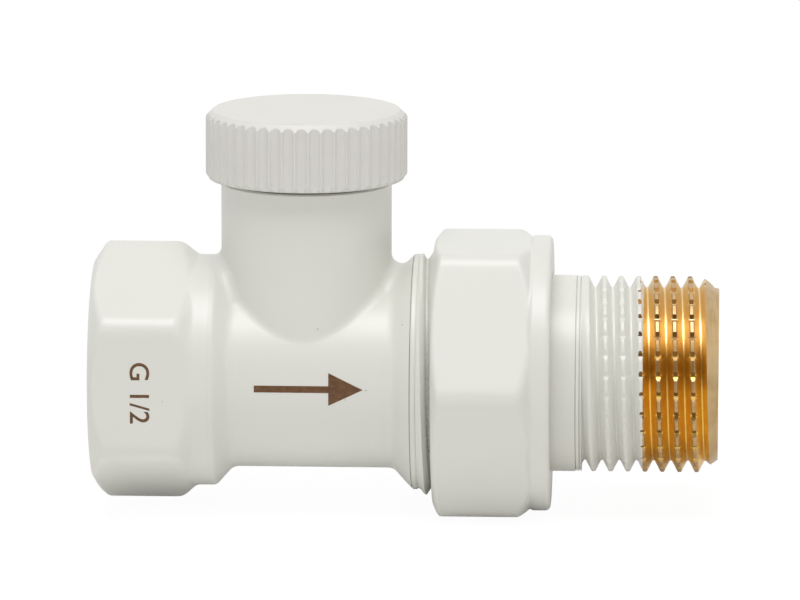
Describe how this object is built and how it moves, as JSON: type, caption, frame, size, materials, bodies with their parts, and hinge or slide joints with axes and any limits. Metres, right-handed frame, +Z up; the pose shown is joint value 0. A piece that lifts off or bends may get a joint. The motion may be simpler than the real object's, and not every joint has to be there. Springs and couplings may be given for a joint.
{
  "type": "straight radiator valve",
  "caption": "Straight lockshield radiator valve: hexagon inlet socket, fluted protective cap on a tower, union nut and threaded tail, with a screw-down disc inside.",
  "frame": {"origin": "centre of the inlet socket's mouth, on the pipe's axis", "axes": "+X along the pipe from the inlet to the radiator, +Z up along the spindle, +Y away from the picture's viewer"},
  "size_m": [0.0659, 0.0318, 0.0426],
  "materials": {
    "white_paint": "satin powder coat on brass",
    "white_plastic": "fine matt moulding",
    "brass": "turned, dulled",
    "rubber": "moulded",
    "spring_steel": "bright"
  },
  "bodies": {
    "valve_body": {"valve_body": "white_paint", "bonnet": "brass", "bonnet_o_ring": "rubber"},
    "valve_disc": {"disc_holder": "brass", "disc_retaining_ring": "spring_steel", "seat_washer": "rubber", "washer_screw": "brass"},
    "spindle": {"spindle": "brass", "spindle_o_ring_lower": "rubber", "spindle_o_ring_upper": "rubber"},
    "cap_gasket": {"cap_gasket": "rubber"},
    "cap": {"cap": "white_plastic"},
    "tail": {"tail_piece": "brass", "tail_o_ring": "rubber"},
    "union_nut": {"union_nut": "white_paint"}
  },
  "joints": [
    {"name": "disc_lift", "type": "slide", "parent": "valve_body", "child": "valve_disc", "axis": [0, 0, 1], "range_m": [-0.003, 0]},
    {"name": "spindle_turn", "type": "hinge", "parent": "valve_disc", "child": "spindle", "pos_m": [0.0224, 0, 0.02], "axis": [0, 0, 1], "range_deg": [-1080, 0]},
    {"name": "cap_lift", "type": "slide", "parent": "valve_body", "child": "cap_gasket", "axis": [0, 0, 1], "range_m": [0, 0.004]},
    {"name": "cap_turn", "type": "hinge", "parent": "cap_gasket", "child": "cap", "pos_m": [0.0224, 0, 0.024], "axis": [0, 0, 1], "range_deg": [0, 1440]},
    {"name": "union_draw", "type": "slide", "parent": "valve_body", "child": "tail", "axis": [1, 0, 0], "range_m": [0, 0.00726]},
    {"name": "nut_turn", "type": "hinge", "parent": "tail", "child": "union_nut", "pos_m": [0.042, 0, 0], "axis": [1, 0, 0], "range_deg": [0, 1440]}
  ],
  "couplings": [
    {"joint": "spindle_turn", "follows": "disc_lift", "rad_per_m": 6283.2},
    {"joint": "cap_turn", "follows": "cap_lift", "rad_per_m": 6283.2},
    {"joint": "nut_turn", "follows": "union_draw", "rad_per_m": 3463.2}
  ]
}
